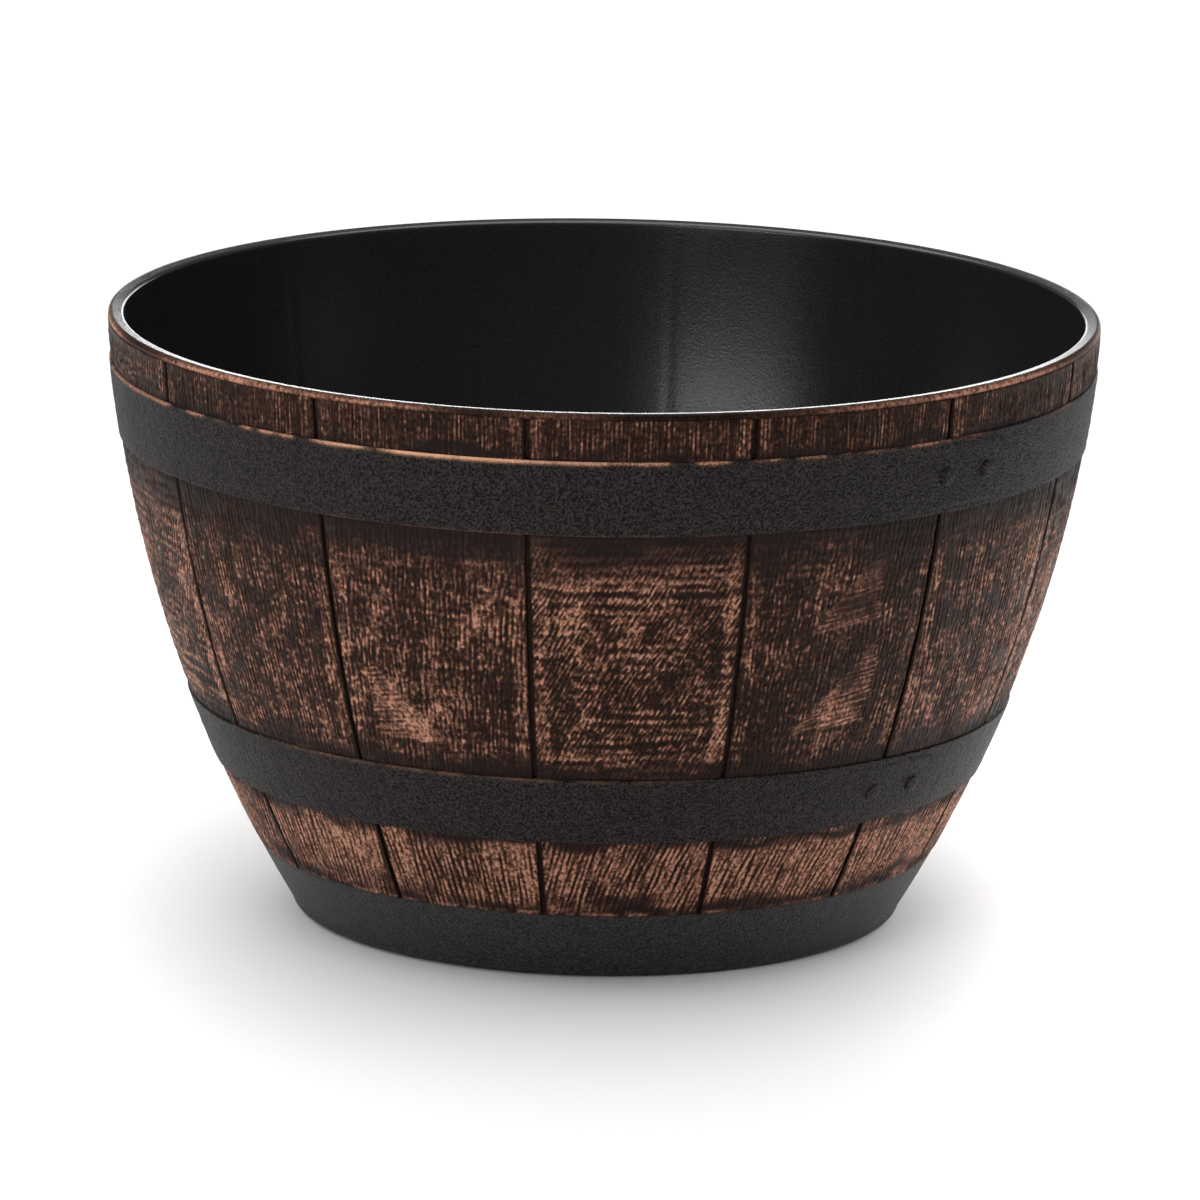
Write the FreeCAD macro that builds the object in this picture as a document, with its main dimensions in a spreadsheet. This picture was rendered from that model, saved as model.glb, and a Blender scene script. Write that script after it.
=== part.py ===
import FreeCAD, Part
import math
import os
import Sketcher

# Half barrel planter in millimetres, +Z up, front towards -Y, origin at the middle of the foot.
# The pot is one thin moulding with its staves in relief. Two strap hoops, their rivets and a
# drain plug are separate pieces on it.

os.makedirs("parts", exist_ok=True)
doc = FreeCAD.newDocument("half_barrel_planter")

# Driving dimensions: millimetres, degrees (turns) and counts
SIZES = {
    # Pot: the wall bows from foot to rim along an arc, and inside along another, in straight steps
    "pot_height": 218,
    "rim_diameter": 356,
    "foot_diameter": 215,
    "wall_bow_radius": 480,
    "inner_steps": 3,
    "rim_width": 5.8,
    "rim_chamfer": 1.2,
    "foot_wall": 3.6,
    "foot_chamfer_height": 3,
    "foot_chamfer_width": 3.4,
    "foot_ring_width": 9,
    "floor_rise": 5,
    "floor_thickness": 3.5,
    "floor_chamfer": 5,
    # Stave joints: shallow grooves down the outside
    "stave_count": 14,
    "stave_turn": 4.4,
    "groove_width": 2.4,
    "groove_depth": 1.2,
    "bare_foot_height": 26,
    "groove_below_rim": 2.4,
    # Hoops: thin straight straps round the bowed wall
    "hoop_clearance": 0.1,
    "hoop_thickness": 0.7,
    "upper_hoop_below_rim": 17,
    "upper_hoop_width": 27,
    "lower_hoop_height": 56.5,
    "lower_hoop_width": 25,
    # Lap of a hoop: a tongue that rises towards its round end
    "lap_turn": -44,
    "tongue_length": 46,
    "tongue_margin": 2.2,
    "tongue_root_step": 0.15,
    "tongue_end_step": 0.6,
    "tongue_end_round": 9,
    # Rivets: bevelled heads on shanks through tongue and strap
    "rivets_per_hoop": 2,
    "rivet_spacing": 20,
    "rivet_end_distance": 12,
    "rivet_head_diameter": 6.4,
    "rivet_head_height": 1,
    "rivet_top_diameter": 5,
    "rivet_shank_diameter": 2.6,
    "rivet_clearance": 0.1,
    # Drain plug: a push-in stopper, drawn out upwards by its grip
    "drain_diameter": 16,
    "plug_clearance": 0.3,
    "plug_flange_diameter": 25,
    "plug_flange_thickness": 2,
    "plug_stem_below": 1,
    "plug_neck_diameter": 7,
    "plug_neck_height": 6,
    "plug_grip_diameter": 12,
    "plug_grip_height": 4,
}

# Sizes that follow from them: the centres of the wall's two arcs, and edges above the floor
DERIVED = {
    "rim_radius": "=sizes.rim_diameter / 2",
    "foot_radius": "=sizes.foot_diameter / 2",
    "wall_lean": "=rim_radius - foot_radius",
    "wall_chord": "=sqrt(wall_lean^2 + sizes.pot_height^2)",
    "bow_rise": "=sqrt(sizes.wall_bow_radius^2 - wall_chord^2 / 4)",
    "bow_x": "=(foot_radius + rim_radius) / 2 - bow_rise * sizes.pot_height / wall_chord",
    "bow_z": "=sizes.pot_height / 2 + bow_rise * wall_lean / wall_chord",
    "floor_top": "=sizes.floor_rise + sizes.floor_thickness",
    "inner_rim_radius": "=rim_radius - sizes.rim_width",
    "inner_foot_radius": "=bow_x + sqrt((sizes.wall_bow_radius - sizes.foot_wall)^2 - (floor_top - bow_z)^2)",
    "inner_lean": "=inner_rim_radius - inner_foot_radius",
    "inner_height": "=sizes.pot_height - floor_top",
    "inner_chord": "=sqrt(inner_lean^2 + inner_height^2)",
    "inner_rise": "=sqrt(sizes.wall_bow_radius^2 - inner_chord^2 / 4)",
    "inner_x": "=(inner_foot_radius + inner_rim_radius) / 2 - inner_rise * inner_height / inner_chord",
    "inner_z": "=(floor_top + sizes.pot_height) / 2 + inner_rise * inner_lean / inner_chord",
    "foot_ring_inner_radius": "=foot_radius - sizes.foot_ring_width",
    "drain_radius": "=sizes.drain_diameter / 2",
    "rim_edge": "=sizes.pot_height - sizes.rim_chamfer",
    "floor_edge": "=floor_top + sizes.floor_chamfer",
    "inner_wall_height": "=rim_edge - floor_edge",
    "upper_hoop_top": "=sizes.pot_height - sizes.upper_hoop_below_rim",
    "upper_hoop_bottom": "=upper_hoop_top - sizes.upper_hoop_width",
    "lower_hoop_bottom": "=sizes.lower_hoop_height",
    "lower_hoop_top": "=lower_hoop_bottom + sizes.lower_hoop_width",
    "wall_middle": "=(lower_hoop_top + upper_hoop_bottom) / 2",
    "upper_hoop_step_low": "=upper_hoop_bottom",
    "upper_hoop_step_high": "=rim_edge",
    "lower_hoop_step_low": "=sizes.bare_foot_height",
    "lower_hoop_step_high": "=lower_hoop_top",
    "hoop_face": "=sizes.hoop_clearance + sizes.hoop_thickness",
    "hoop_middle": "=sizes.hoop_clearance + sizes.hoop_thickness / 2",
    "tongue_middle_step": "=(sizes.tongue_root_step + sizes.tongue_end_step) / 2",
}

# Each hoop lies on one straight step of the wall: the step's radius at its ends, its lean, and
# the horizontal width of one unit of thickness
for hoop in ("upper_hoop", "lower_hoop"):
    for end in ("low", "high"):
        height = f"{hoop}_step_{end} - bow_z"
        DERIVED[f"{hoop}_{end}_radius"] = f"=bow_x + sqrt(sizes.wall_bow_radius^2 - ({height})^2)"
    rise = f"({hoop}_high_radius - {hoop}_low_radius)"
    DERIVED[f"{hoop}_slope"] = f"={rise} / ({hoop}_step_high - {hoop}_step_low)"
    DERIVED[f"{hoop}_skew"] = f"=sqrt(1 + {hoop}_slope^2)"

# The heights at which the outside turns from one straight step to the next, above the bare foot
STAVE_STEPS = [
    "sizes.bare_foot_height",
    "derived.lower_hoop_top",
    "derived.wall_middle",
    "derived.upper_hoop_bottom",
    "derived.rim_edge",
]


def make_sheet(name, cells):
    """A spreadsheet with one named value in each row."""
    sheet = doc.addObject("Spreadsheet::Sheet", name)
    for row, (alias, value) in enumerate(cells.items(), start=1):
        sheet.set(f"A{row}", alias)
        sheet.set(f"B{row}", str(value))
        sheet.setAlias(f"B{row}", alias)
    doc.recompute()
    return sheet


make_sheet("sizes", SIZES)
derived = make_sheet("derived", DERIVED)


def number(text):
    """What an expression on the two sheets is worth, as a plain number."""
    value = derived.evalExpression(str(text))
    return float(getattr(value, "Value", value))


def outside_at(height, depth):
    """The radius, at a height, of the arc that lies a depth inside the wall's outer arc."""
    return (
        f"(derived.bow_x + sqrt((sizes.wall_bow_radius - ({depth}))^2"
        f" - (({height}) - derived.bow_z)^2))"
    )


def inside_at(height):
    """The radius, at a height, of the wall's inner arc."""
    return f"(derived.inner_x + sqrt(sizes.wall_bow_radius^2 - (({height}) - derived.inner_z)^2))"


def strap_at(hoop, height, offset):
    """The radius, at a height, of the cone that lies offset outside a hoop's step of the wall."""
    return (
        f"(derived.{hoop}_low_radius + (({height}) - derived.{hoop}_step_low)"
        f" * derived.{hoop}_slope + ({offset}) * derived.{hoop}_skew)"
    )


def add_side(sketch, first, last, radius):
    """A line, or an arc that bulges towards +X; returns it with its start and its end."""
    if radius is None:
        side = sketch.addGeometry(Part.LineSegment(first, last))
        return side, 1, 2
    ends = sorted((first, last), key=lambda point: point.y)
    chord = ends[1] - ends[0]
    bulge = FreeCAD.Vector(chord.y, -chord.x, 0) / chord.Length
    centre = (first + last) / 2 - bulge * math.sqrt(radius**2 - chord.Length**2 / 4)
    turns = [math.atan2(end.y - centre.y, end.x - centre.x) for end in ends]
    circle = Part.Circle(centre, FreeCAD.Vector(0, 0, 1), radius)
    side = sketch.addGeometry(Part.ArcOfCircle(circle, *turns))
    return (side, 1, 2) if ends[0] is first else (side, 2, 1)


def draw_outline(sketch, corners, arcs):
    """Closes a profile through corners, given as pairs of expressions.

    A side listed in arcs, by the number of its first corner, is an arc of that radius.
    """
    points = [FreeCAD.Vector(number(x), number(y), 0) for x, y in corners]
    sides = []
    for i, first in enumerate(points):
        last = points[(i + 1) % len(points)]
        radius = number(arcs[i]) if i in arcs else None
        sides.append(add_side(sketch, first, last, radius))

    def bind(kind, text, *where):
        index = sketch.addConstraint(Sketcher.Constraint(kind, *where, number(text)))
        sketch.setExpression(f"Constraints[{index}]", str(text))

    for i, (side, start, end) in enumerate(sides):
        after, after_start, _ = sides[(i + 1) % len(sides)]
        sketch.addConstraint(Sketcher.Constraint("Coincident", side, end, after, after_start))
        bind("DistanceX", corners[i][0], -1, 1, side, start)
        bind("DistanceY", corners[i][1], -1, 1, side, start)
        if i in arcs:
            bind("Radius", arcs[i], side)


def body_sketch(body, name, corners):
    """A profile on a body's own XZ plane."""
    sketch = body.newObject("Sketcher::SketchObject", name)
    plane = next(item for item in body.Origin.OriginFeatures if item.Role == "XZ_Plane")
    sketch.AttachmentSupport = [(plane, "")]
    sketch.MapMode = "FlatFace"
    draw_outline(sketch, corners, {})
    doc.recompute()
    return sketch


def turn_profile(body, name, corners):
    """Turns a profile of the XZ plane once round the Z axis."""
    sketch = body_sketch(body, f"{name}_profile", corners)
    feature = body.newObject("PartDesign::Revolution", name)
    feature.Profile = sketch
    feature.ReferenceAxis = (sketch, ["V_Axis"])
    feature.Angle = 360
    doc.recompute()
    return feature


def cut_check(feature, before):
    """A cut that points away from the solid removes nothing, so the volumes are compared."""
    if not feature.Shape.Volume < before.Shape.Volume:
        raise RuntimeError(f"{feature.Name} cuts nothing")


# Barrel pot: bowed shell with bevelled rim and foot, and stave joints down its outside


def make_barrel_pot():
    body = doc.addObject("PartDesign::Body", "barrel_pot")
    foot_edge = "sizes.foot_chamfer_height"
    shares = [f"{step} / sizes.inner_steps" for step in range(SIZES["inner_steps"] + 1)]
    inner_heights = [f"(derived.rim_edge - derived.inner_wall_height * {share})" for share in shares]
    corners = [
        ("derived.drain_radius", "sizes.floor_rise"),
        ("derived.foot_ring_inner_radius", "sizes.floor_rise"),
        ("derived.foot_ring_inner_radius", "0"),
        ("derived.foot_radius - sizes.foot_chamfer_width", "0"),
        *((outside_at(height, "0"), height) for height in [foot_edge, *STAVE_STEPS]),
        ("derived.rim_radius - sizes.rim_chamfer", "sizes.pot_height"),
        ("derived.inner_rim_radius + sizes.rim_chamfer", "sizes.pot_height"),
        *((inside_at(height), height) for height in inner_heights),
        ("derived.inner_foot_radius - sizes.floor_chamfer", "derived.floor_top"),
        ("derived.drain_radius", "derived.floor_top"),
    ]
    shell = turn_profile(body, "pot_shell", corners)
    cut_stave_joints(body, shell)
    body.setExpression("Placement.Rotation.Angle", "sizes.stave_turn")
    return body


def cut_stave_joints(body, before):
    """One joint down the wall, from above the bare foot to just below the rim, then the rest."""
    low, high = "sizes.bare_foot_height", "sizes.pot_height - sizes.groove_below_rim"
    clear = "derived.rim_radius + sizes.rim_width"
    floor_heights = [high, *STAVE_STEPS[-2::-1]]
    corners = [
        (clear, low),
        (clear, high),
        *((outside_at(height, "sizes.groove_depth"), height) for height in floor_heights),
    ]
    sketch = body_sketch(body, "joint_profile", corners)
    joint = body.newObject("PartDesign::Pocket", "stave_joint")
    joint.Profile = sketch
    joint.SideType = "Symmetric"
    joint.setExpression("Length", "sizes.groove_width")
    doc.recompute()
    cut_check(joint, before)

    pattern = body.newObject("PartDesign::PolarPattern", "stave_joints")
    pattern.Originals = [joint]
    pattern.Axis = (sketch, ["V_Axis"])
    pattern.Angle = 360
    pattern.setExpression("Occurrences", "sizes.stave_count")
    body.Tip = pattern
    doc.recompute()
    cut_check(pattern, joint)


# Hoops: straight straps, each with a lapped tongue and its rivet holes


def free_sketch(name, placement, corners, arcs):
    """A profile outside any body, for a turned or extruded solid."""
    sketch = doc.addObject("Sketcher::SketchObject", name)
    sketch.Placement = placement
    draw_outline(sketch, corners, arcs)
    return sketch


UPRIGHT = FreeCAD.Placement(FreeCAD.Vector(), FreeCAD.Rotation(FreeCAD.Vector(1, 0, 0), 90))
FACING_X = FreeCAD.Placement(FreeCAD.Vector(), FreeCAD.Rotation(FreeCAD.Vector(1, 1, 1), 120))


def turned_solid(name, corners):
    """A profile of the XZ plane turned once round the Z axis, as a solid of its own."""
    solid = doc.addObject("Part::Revolution", name)
    solid.Source = free_sketch(f"{name}_profile", UPRIGHT, corners, {})
    solid.Axis = FreeCAD.Vector(0, 0, 1)
    solid.Angle = 360
    solid.Solid = True
    return solid


def strap_ring(name, hoop, low, high, inner, face):
    """A ring along a hoop from one height to another, between two offsets from the wall's step."""
    corners = [
        (strap_at(hoop, low, inner), low),
        (strap_at(hoop, low, face), low),
        (strap_at(hoop, high, face), high),
        (strap_at(hoop, high, inner), high),
    ]
    return turned_solid(name, corners)


def tongue_middle(hoop):
    """The height of the middle of a hoop, where its rivets sit."""
    return f"((derived.{hoop}_bottom + derived.{hoop}_top) / 2)"


def tongue_shift(hoop):
    """How far the tongue's ring stands off the axis, so that it rises from root to end."""
    rise = "(sizes.tongue_end_step - sizes.tongue_root_step)"
    radius = strap_at(hoop, tongue_middle(hoop), "derived.hoop_face")
    return f"({rise} * {radius} / sizes.tongue_length)"


def make_strap(hoop):
    """The plain strap round the wall."""
    bottom, top = f"derived.{hoop}_bottom", f"derived.{hoop}_top"
    return strap_ring(f"{hoop}_strap", hoop, bottom, top, "sizes.hoop_clearance", "derived.hoop_face")


def make_tongue(hoop):
    """The lapped end of the strap: a ring off the axis, cut to a strip with a round end."""
    low = f"derived.{hoop}_bottom + sizes.tongue_margin"
    high = f"derived.{hoop}_top - sizes.tongue_margin"
    face = "derived.hoop_face + derived.tongue_middle_step"
    ring = strap_ring(f"{hoop}_tongue_ring", hoop, low, high, "derived.hoop_middle", face)
    ring.setExpression("Placement.Base.y", tongue_shift(hoop))

    root, end = "-sizes.tongue_length / 2", "sizes.tongue_length / 2"
    bend = f"{end} - sizes.tongue_end_round"
    corners = [
        (root, low),
        (bend, low),
        (end, f"{low} + sizes.tongue_end_round"),
        (end, f"{high} - sizes.tongue_end_round"),
        (bend, high),
        (root, high),
    ]
    arcs = {1: "sizes.tongue_end_round", 3: "sizes.tongue_end_round"}
    prism = doc.addObject("Part::Extrusion", f"{hoop}_tongue_prism")
    prism.Base = free_sketch(f"{hoop}_tongue_outline", FACING_X, corners, arcs)
    prism.DirMode = "Normal"
    prism.setExpression("LengthFwd", "derived.rim_radius + sizes.rim_width")
    prism.Solid = True

    tongue = doc.addObject("Part::Common", f"{hoop}_tongue")
    tongue.Base = ring
    tongue.Tool = prism
    return tongue


def rivet_placement(hoop, place):
    """On the tongue at a distance from its end, square to the strap and just clear of the tongue."""
    along = f"(sizes.tongue_length / 2 - sizes.rivet_end_distance - {place} * sizes.rivet_spacing)"
    height, face = tongue_middle(hoop), "derived.hoop_face"
    radius = strap_at(hoop, height, face)
    step = f"(derived.tongue_middle_step + {tongue_shift(hoop)} * {along} / {radius})"
    seat = strap_at(hoop, height, f"{face} + {step} + sizes.rivet_clearance")
    turn = f"(sizes.lap_turn * 1 deg + asin({along} / {radius}))"
    base = f"vector({seat} * cos({turn}); {seat} * sin({turn}); {height})"
    axis = f"vector(-sin({turn}); cos({turn}); 0)"
    return f"placement({base}; rotation({axis}; 90 deg + atan(derived.{hoop}_slope)))"


def make_rivet_hole(hoop, place):
    """A hole through tongue and strap, a clearance wider than the rivet's shank."""
    radius = "sizes.rivet_shank_diameter / 2 + sizes.rivet_clearance"
    reach = "2 * (sizes.hoop_thickness + sizes.tongue_end_step)"
    corners = [("0", f"-({reach})"), (radius, f"-({reach})"), (radius, reach), ("0", reach)]
    hole = turned_solid(f"{hoop}_rivet_hole_{place}", corners)
    hole.setExpression("Placement", rivet_placement(hoop, place))
    return hole


def make_hoop(hoop):
    lapped = doc.addObject("Part::Fuse", f"{hoop}_lapped")
    lapped.Base = make_strap(hoop)
    lapped.Tool = make_tongue(hoop)
    lapped.setExpression("Placement.Rotation.Angle", "sizes.lap_turn")
    holes = doc.addObject("Part::MultiFuse", f"{hoop}_rivet_holes")
    holes.Shapes = [make_rivet_hole(hoop, place) for place in range(SIZES["rivets_per_hoop"])]
    cut = doc.addObject("Part::Cut", hoop)
    cut.Base = lapped
    cut.Tool = holes
    return cut


# Rivets: four alike, in one group


def make_rivet(hoop, place):
    """A bevelled head on a shank that stops short of the pot's wall."""
    head, shank = "sizes.rivet_head_diameter / 2", "sizes.rivet_shank_diameter / 2"
    corners = [
        ("0", "-sizes.hoop_thickness"),
        (shank, "-sizes.hoop_thickness"),
        (shank, "0"),
        (head, "0"),
        ("sizes.rivet_top_diameter / 2", "sizes.rivet_head_height"),
        ("0", "sizes.rivet_head_height"),
    ]
    rivet = turned_solid(f"{hoop}_rivet_{place}", corners)
    rivet.setExpression("Placement", rivet_placement(hoop, place))
    return rivet


def make_rivets():
    group = doc.addObject("Part::Compound", "hoop_rivets")
    places = range(SIZES["rivets_per_hoop"])
    group.Links = [make_rivet(hoop, place) for hoop in ("upper_hoop", "lower_hoop") for place in places]
    return group


# Drain plug: flange on the floor, stem in the drain, grip on a neck above


def make_drain_plug():
    body = doc.addObject("PartDesign::Body", "drain_plug")
    stem = "derived.drain_radius - sizes.plug_clearance"
    stem_end = "sizes.floor_rise - sizes.plug_stem_below"
    flange, neck = "sizes.plug_flange_diameter / 2", "sizes.plug_neck_diameter / 2"
    grip = "sizes.plug_grip_diameter / 2"
    flange_top = "derived.floor_top + sizes.plug_flange_thickness"
    neck_top = f"{flange_top} + sizes.plug_neck_height"
    grip_top = f"{neck_top} + sizes.plug_grip_height"
    corners = [
        ("0", stem_end),
        (stem, stem_end),
        (stem, "derived.floor_top"),
        (flange, "derived.floor_top"),
        (flange, flange_top),
        (neck, flange_top),
        (neck, neck_top),
        (grip, neck_top),
        (grip, grip_top),
        ("0", grip_top),
    ]
    turn_profile(body, "plug_form", corners)
    return body


def write_parts(parts):
    """Checks every object, then writes each piece to a file named by its label."""
    doc.recompute()
    for item in doc.Objects:
        if "Invalid" in item.State or "Error" in item.State:
            raise RuntimeError(f"{item.Name} is {item.State}")
    for part in parts:
        if part.Shape.isNull() or not part.Shape.isValid():
            raise RuntimeError(f"{part.Label} has no valid shape")
    for part in parts:
        part.Shape.exportStep(f"parts/{part.Label}.step")
        print(part.Label, len(part.Shape.Solids), "solids", round(part.Shape.Volume, 1), "mm3")


write_parts(
    [
        make_barrel_pot(),
        make_hoop("upper_hoop"),
        make_hoop("lower_hoop"),
        make_rivets(),
        make_drain_plug(),
    ]
)
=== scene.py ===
import math
from collections import namedtuple
from types import SimpleNamespace

import bpy
import numpy as np
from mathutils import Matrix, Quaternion, Vector


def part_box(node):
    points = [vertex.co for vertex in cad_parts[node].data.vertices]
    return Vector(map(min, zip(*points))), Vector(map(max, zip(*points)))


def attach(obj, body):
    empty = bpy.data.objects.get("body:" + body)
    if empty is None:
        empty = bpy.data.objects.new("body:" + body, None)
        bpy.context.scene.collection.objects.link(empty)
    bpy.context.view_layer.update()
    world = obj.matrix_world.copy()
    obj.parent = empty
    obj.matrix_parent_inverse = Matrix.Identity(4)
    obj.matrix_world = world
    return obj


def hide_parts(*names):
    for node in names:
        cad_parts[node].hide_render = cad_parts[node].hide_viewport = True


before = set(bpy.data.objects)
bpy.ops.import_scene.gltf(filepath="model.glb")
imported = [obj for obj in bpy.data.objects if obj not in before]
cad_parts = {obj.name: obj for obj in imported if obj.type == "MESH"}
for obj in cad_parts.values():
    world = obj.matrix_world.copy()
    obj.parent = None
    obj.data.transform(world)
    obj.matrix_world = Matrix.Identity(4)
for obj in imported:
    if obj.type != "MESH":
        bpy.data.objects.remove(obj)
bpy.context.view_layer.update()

MM = 0.001
FULL_TURN = 2 * math.pi
QUARTER_TURN = math.pi / 2

# Heights read from the frame
POT_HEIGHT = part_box("barrel_pot")[1].z
HOOPS = {name: (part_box(name)[0].z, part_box(name)[1].z) for name in ("upper_hoop", "lower_hoop")}
UPPER_BOTTOM, UPPER_TOP = HOOPS["upper_hoop"]
LOWER_BOTTOM, LOWER_TOP = HOOPS["lower_hoop"]
PLUG_BOTTOM, PLUG_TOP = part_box("drain_plug")[0].z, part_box("drain_plug")[1].z

# Pot: a wall on one arc, an open foot, a floor with a drain hole
RIM_RADIUS = 178 * MM
FOOT_RADIUS = 107.5 * MM
BOW_RADIUS = 480 * MM
RIM_WIDTH = 5.8 * MM
RIM_ROUND = 1.4 * MM
RIM_LIP_INSET = 0.15 * MM
LIP_HEIGHT = POT_HEIGHT - RIM_ROUND
RIM_SLOPE_WIDTH = 2.6 * MM
RIM_SLOPE_DROP = 0.3 * MM
FOOT_WALL = 3.6 * MM
FOOT_ROUND_WIDTH = 3.4 * MM
FOOT_ROUND_HEIGHT = 4 * MM
FOOT_RING_WIDTH = 9 * MM
FLOOR_UNDERSIDE = 5 * MM
UNDERSIDE_ROUND = 1 * MM
FLOOR_TOP = 8.5 * MM
FLOOR_ROUND = 6 * MM
DRAIN_RADIUS = 8 * MM
DRAIN_ROUND = 0.5 * MM

# Faint ridges on the inside, which fade in above the ground and out below the rim
RIDGE_HEIGHT = 0.1 * MM
RIDGE_WIDTH = 1.6 * MM
RIDGE_START = (30 * MM, 60 * MM)
RIDGE_END = (4 * MM, 14 * MM)

# Order of the pot's finishes
BARE_INDEX, PAINTED_INDEX, FOOT_INDEX = 0, 1, 2

# Patchy line of copper on the rim's outer lip
LIP_REACH = 1 * MM
LIP_LINE_WIDTH = 1.2 * MM
LIP_PATCH_LENGTH = 9 * MM
LIP_PAINT = 0.5
LIP_PATCH_WEIGHT = 0.35

# Staves: boards in relief between joints
STAVE_COUNT = 14
STAVE_PITCH = FULL_TURN / STAVE_COUNT
FRONT_TURN = math.radians(-90)
FIRST_STAVE_TURN = FRONT_TURN + math.radians(4.4)
JOINT_WIDTH = 1.3 * MM
JOINT_DEPTH = 1.3 * MM
JOINT_FOOT_SLOPE = 0.6 * MM
JOINT_HEAD_SLOPE = 0.3 * MM
BOARD_ROUND = 1.0 * MM
BOARD_ROUND_DEPTH = 0.6 * MM
BOARD_BACK = -2.0 * MM
BOARD_BOTTOM = 26 * MM
BOARD_TOP = POT_HEIGHT - 2.4 * MM
BOARD_DIP = -0.8 * MM
DIP_EDGE = (1 * MM, 3 * MM)
GRAIN_RELIEF = 0.12 * MM
GRAIN_LIMITS = (-2, 2)
FINE_RELIEF_SHARE = 0.3
ROW_RELIEF = 0.10 * MM
ROW_LIMITS = (-2, 1)
RELIEF_START = 2 * MM
RELIEF_END = 6 * MM

# Marks on a board: how far apart they lie and how long they run
GRAIN_PERIOD = 1.9 * MM
LINE_PERIOD = 1.4 * GRAIN_PERIOD
LINE_LENGTH = 2.8 * MM
COMB_PERIOD = 0.75 * GRAIN_PERIOD
COMB_LENGTH = 4 * MM
ROW_PERIOD = 4 * MM
ROW_LENGTH = 6 * MM
BRUSH_LENGTH = 5 * MM
BRUSH_SLANT = 0.15
STREAK_PERIOD = 3.5 * GRAIN_PERIOD
STREAK_LENGTH = 8 * MM
STREAK_LIMIT = 2.5
FINE_SPREAD = (0.45 * MM, 0.45 * MM)
CLOUD_SPREAD = (2.4 * MM, 1.8 * MM)
BROAD_SPREAD = (12 * MM, 7 * MM)
RIPPLE_BAND = 0.35

# Zones of a board: low and top lie past the hoops, and the saw rows are calm in the middle
ZONE_EDGE = 1 * MM
MIDDLE_SPREAD = 24 * MM
MIDDLE_CALM = 0.6

# Weights of the marks in the paint, and how far a zone or a sail calms them
STROKE_WEIGHT = 0.7
LINE_WEIGHT = 1.3
COMB_WEIGHT = 0.8
FINE_WEIGHT = 0.6
FINE_LOW_CALM = 0.25
FINE_TOP_CALM = 0.2
FINE_SAIL_CALM = 0.45
CLOUD_WEIGHT = 0.4
BROAD_WEIGHT = 0.3
STREAK_WEIGHT = 0.4
TOP_CALM = 0.7
TOP_BARE = 0.4
LOW_COVER = 0.65
LOW_CLOUD_WEIGHT = 0.45
PAINT_START = -0.9
PAINT_FULL = 3.0
LOW_START_DROP = 0.9
PAINT_FILM = 0.03

# Copper rubbed on along the boards' edges, with a dark rule beside it
BAND_WEIGHT = 0.8
BAND_INSET = 3.2 * MM
BAND_WIDTH = 2.4 * MM
RULE_INSET = 2.3 * BAND_INSET
RULE_WIDTH = BAND_WIDTH / 2
SAWN_TOP_GAP = 14 * MM
SAWN_FOOT_GAP = 6 * MM
BARE_EDGE = 0.8 * MM
BARE_EDGE_FADE = 0.6 * MM
FOOT_LINE_PAINT = 0.5
FOOT_LINE_RISE = 0.8 * MM
FOOT_LINE_WIDTH = 0.7 * MM

# Sails: smooth patches of paint, with widths and shifts as shares of the board
SAIL_BASE = (9 * MM, 15 * MM)
SAIL_SHIFT = 0.15
SAIL_TALL = (28 * MM, 36 * MM)
SAIL_WIDE = (0.36, 0.44)
SAIL_PEAK = 1.05
SAIL_SPACING = 1.1
SAIL_NEAR_EDGE = 1.2 * MM
SAIL_FAR_EDGE = 1.6 * MM
SAIL_FOOT = (0.05, 0.12)
SAIL_FOOT_TILT = 0.1
SAIL_RAGGED = 0.9 * MM
RAGGED_BRUSH = 0.7
RAGGED_CLOUD = 0.5
SAIL_CALM = 0.8
SAIL_BRUSH_WEIGHT = 0.4
SAIL_PAINT = 1.25

# Black sprayed past the hoops and the foot
OVERSPRAY_SHARE = 0.95
OVERSPRAY_REACH = {
    UPPER_TOP: 2 * MM,
    UPPER_BOTTOM: 14 * MM,
    LOWER_TOP: 7 * MM,
    LOWER_BOTTOM: 3.5 * MM,
    BOARD_BOTTOM: 5 * MM,
}
WOBBLE_SPREAD = (1.5 * MM, 5 * MM)
WOBBLE_REACH = 1.8 * MM

# Hoops: straps with a tongue that rises towards its round end, and rivets
HOOP_FACE = 0.8 * MM
HOOP_BACK = -0.4 * MM
HOOP_ROUND = 0.5 * MM
PEBBLE_RELIEF = 0.05 * MM
PEBBLE_SPREAD = (0.8 * MM, 0.8 * MM)
SWAY_RELIEF = 0.05 * MM
SWAY_SPREAD = (6 * MM, 14 * MM)
LAP_TURN = math.radians(-44)
TONGUE_LENGTH = 46 * MM
TONGUE_MARGIN = 2.2 * MM
TONGUE_ROOT_STEP = 0.15 * MM
TONGUE_END_STEP = 0.6 * MM
TONGUE_END_ROUND = 9 * MM
TONGUE_EDGE = 0.7 * MM
RIVETS_PER_HOOP = 2
RIVET_SPACING = 20 * MM
RIVET_END_DISTANCE = 12 * MM
RIVET_RADIUS = 3.2 * MM
RIVET_HEIGHT = 1 * MM
RIVET_SIDE = 0.25 * RIVET_HEIGHT
RIVET_CROWN = 0.1 * RIVET_RADIUS

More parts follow.
